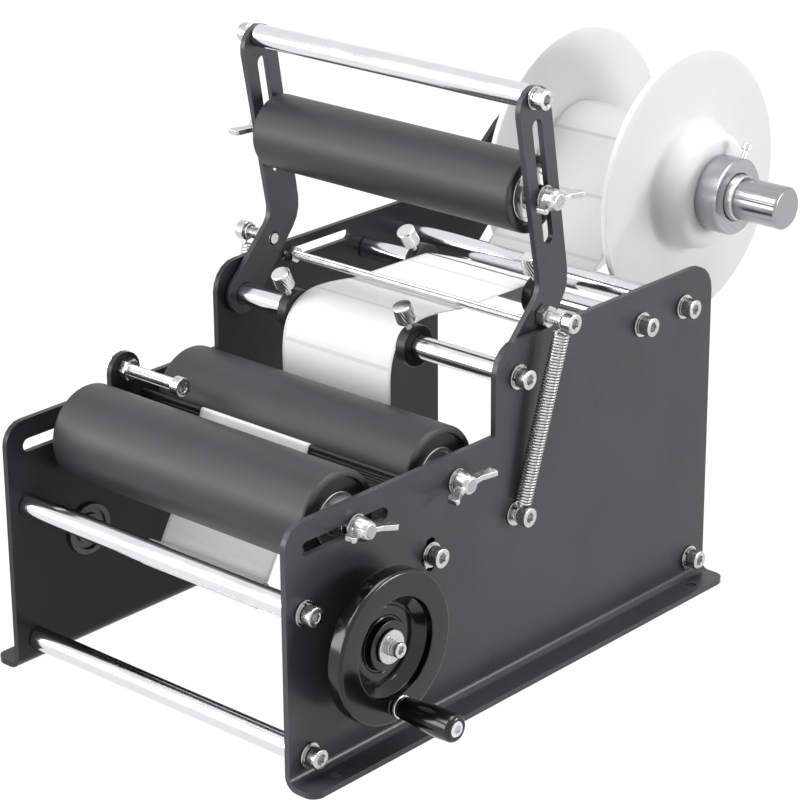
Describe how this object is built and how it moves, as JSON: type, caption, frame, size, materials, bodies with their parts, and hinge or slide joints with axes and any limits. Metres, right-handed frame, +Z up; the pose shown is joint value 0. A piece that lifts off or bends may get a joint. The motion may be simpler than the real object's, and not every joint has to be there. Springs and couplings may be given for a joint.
{
  "type": "bottle labelling machine",
  "caption": "Hand-cranked bench machine that lays a label from a roll round a bottle turned on rubber rollers",
  "frame": {"origin": "middle of the bounding box, on the surface the feet stand on", "axes": "+X to the handwheel side, +Y from the front rollers to the label roll, +Z up"},
  "size_m": [0.345, 0.5934, 0.3874],
  "materials": {
    "powder_coat": "satin black powder coat",
    "chrome": "polished chrome",
    "zinc": "bright zinc plate",
    "steel": "ground steel",
    "rubber": "matte black rubber",
    "black_plastic": "gloss black",
    "black_steel": "blackened steel",
    "disc_plastic": "translucent white",
    "paper": "white paper"
  },
  "bodies": {
    "frame": {"left_side_plate": "powder_coat", "right_side_plate": "powder_coat", "front_low_rod": "chrome", "front_middle_rod": "chrome", "rear_low_rod": "chrome", "guide_rod_1": "chrome", "guide_rod_2": "chrome", "guide_rod_3": "chrome", "second_roller_axle": "steel", "second_roller_left_wing_nut": "zinc", "second_roller_right_wing_nut": "zinc", "left_drive_bearing": "steel", "right_drive_bearing": "steel", "left_spring_anchor": "zinc", "right_spring_anchor": "zinc", "left_spring": "zinc", "right_spring": "zinc", "label_web": "paper", "spindle_bearing": "steel"},
    "arm": {"left_arm": "powder_coat", "right_arm": "powder_coat", "handle_tube": "chrome", "left_spring_bolt": "zinc", "right_spring_bolt": "zinc"},
    "arm_axle": {"arm_roller_axle": "steel", "arm_roller_left_wing_nut": "zinc", "arm_roller_right_wing_nut": "zinc"},
    "arm_roller_sleeve": {"arm_roller": "rubber", "arm_roller_left_bearing": "steel", "arm_roller_right_bearing": "steel"},
    "front_axle": {"front_roller_axle": "steel", "front_roller_left_wing_nut": "zinc", "front_roller_right_wing_nut": "zinc"},
    "front_roller_sleeve": {"front_roller": "rubber", "front_roller_left_bearing": "steel", "front_roller_right_bearing": "steel"},
    "second_roller_sleeve": {"second_roller": "rubber", "second_roller_left_bearing": "steel", "second_roller_right_bearing": "steel"},
    "peel": {"peel_plate": "black_steel"},
    "crank": {"drive_shaft": "steel", "handwheel": "black_plastic", "grip_stud": "chrome"},
    "crank_grip": {"grip": "black_plastic"},
    "spindle": {"spindle_shaft": "chrome", "far_disc": "disc_plastic", "far_collar": "steel", "label_roll": "paper"},
    "near_flange": {"near_disc": "disc_plastic", "near_collar": "steel"},
    "guide_1_left": {"guide_collar_1_left": "black_steel", "guide_collar_1_left_screw": "zinc"},
    "guide_1_right": {"guide_collar_1_right": "black_steel", "guide_collar_1_right_screw": "zinc"},
    "guide_2_left": {"guide_collar_2_left": "black_steel", "guide_collar_2_left_screw": "zinc"},
    "guide_2_right": {"guide_collar_2_right": "black_steel", "guide_collar_2_right_screw": "zinc"},
    "web_stop": {"stop_rod": "zinc"},
    "bottle_end_stop": {"bottle_stop": "zinc"}
  },
  "joints": [
    {"name": "arm_swing", "type": "hinge", "parent": "frame", "child": "arm", "pos_m": [-0.0263, -0.0857, 0.2053], "axis": [1, 0, 0], "range_deg": [0, 95], "deforming": ["left_spring", "right_spring"]},
    {"name": "arm_roller_slide", "type": "slide", "parent": "arm", "child": "arm_axle", "axis": [0, -0.1616, 0.9869], "range_m": [-0.024, 0.033]},
    {"name": "arm_roller_spin", "type": "hinge", "parent": "arm_axle", "child": "arm_roller_sleeve", "pos_m": [-0.0263, -0.05566, 0.31378], "axis": [1, 0, 0], "continuous": true},
    {"name": "front_roller_slide", "type": "slide", "parent": "frame", "child": "front_axle", "axis": [0, 1, 0], "range_m": [-0.04, 0.0165], "deforming": ["label_web"]},
    {"name": "front_roller_spin", "type": "hinge", "parent": "front_axle", "child": "front_roller_sleeve", "pos_m": [-0.0263, -0.2362, 0.1535], "axis": [1, 0, 0], "continuous": true},
    {"name": "second_roller_spin", "type": "hinge", "parent": "frame", "child": "second_roller_sleeve", "pos_m": [-0.0263, -0.1442, 0.1535], "axis": [1, 0, 0], "continuous": true},
    {"name": "peel_slide", "type": "slide", "parent": "frame", "child": "peel", "axis": [0, 0, 1], "range_m": [-0.0065, 0.006], "deforming": ["label_web"]},
    {"name": "crank_spin", "type": "hinge", "parent": "frame", "child": "crank", "pos_m": [-0.0263, -0.2317, 0.08], "axis": [1, 0, 0], "continuous": true, "deforming": ["label_web"]},
    {"name": "grip_spin", "type": "hinge", "parent": "crank", "child": "crank_grip", "pos_m": [-0.0263, -0.22966, 0.04105], "axis": [1, 0, 0], "continuous": true},
    {"name": "spindle_spin", "type": "hinge", "parent": "frame", "child": "spindle", "pos_m": [-0.0263, 0.1997, 0.246], "axis": [1, 0, 0], "continuous": true, "deforming": ["label_web"]},
    {"name": "disc_slide", "type": "slide", "parent": "spindle", "child": "near_flange", "axis": [1, 0, 0], "range_m": [0, 0.035]},
    {"name": "guide_1_left_slide", "type": "slide", "parent": "frame", "child": "guide_1_left", "axis": [1, 0, 0], "range_m": [-0.04, 0]},
    {"name": "guide_1_right_slide", "type": "slide", "parent": "frame", "child": "guide_1_right", "axis": [1, 0, 0], "range_m": [0, 0.07]},
    {"name": "guide_2_left_slide", "type": "slide", "parent": "frame", "child": "guide_2_left", "axis": [1, 0, 0], "range_m": [-0.045, 0]},
    {"name": "guide_2_right_slide", "type": "slide", "parent": "frame", "child": "guide_2_right", "axis": [1, 0, 0], "range_m": [0, 0.075]},
    {"name": "stop_rod_slide", "type": "slide", "parent": "frame", "child": "web_stop", "axis": [0, 1, 0], "range_m": [-0.004, 0.054]},
    {"name": "bottle_stop_slide", "type": "slide", "parent": "frame", "child": "bottle_end_stop", "axis": [1, 0, 0], "range_m": [-0.035, 0]}
  ]
}
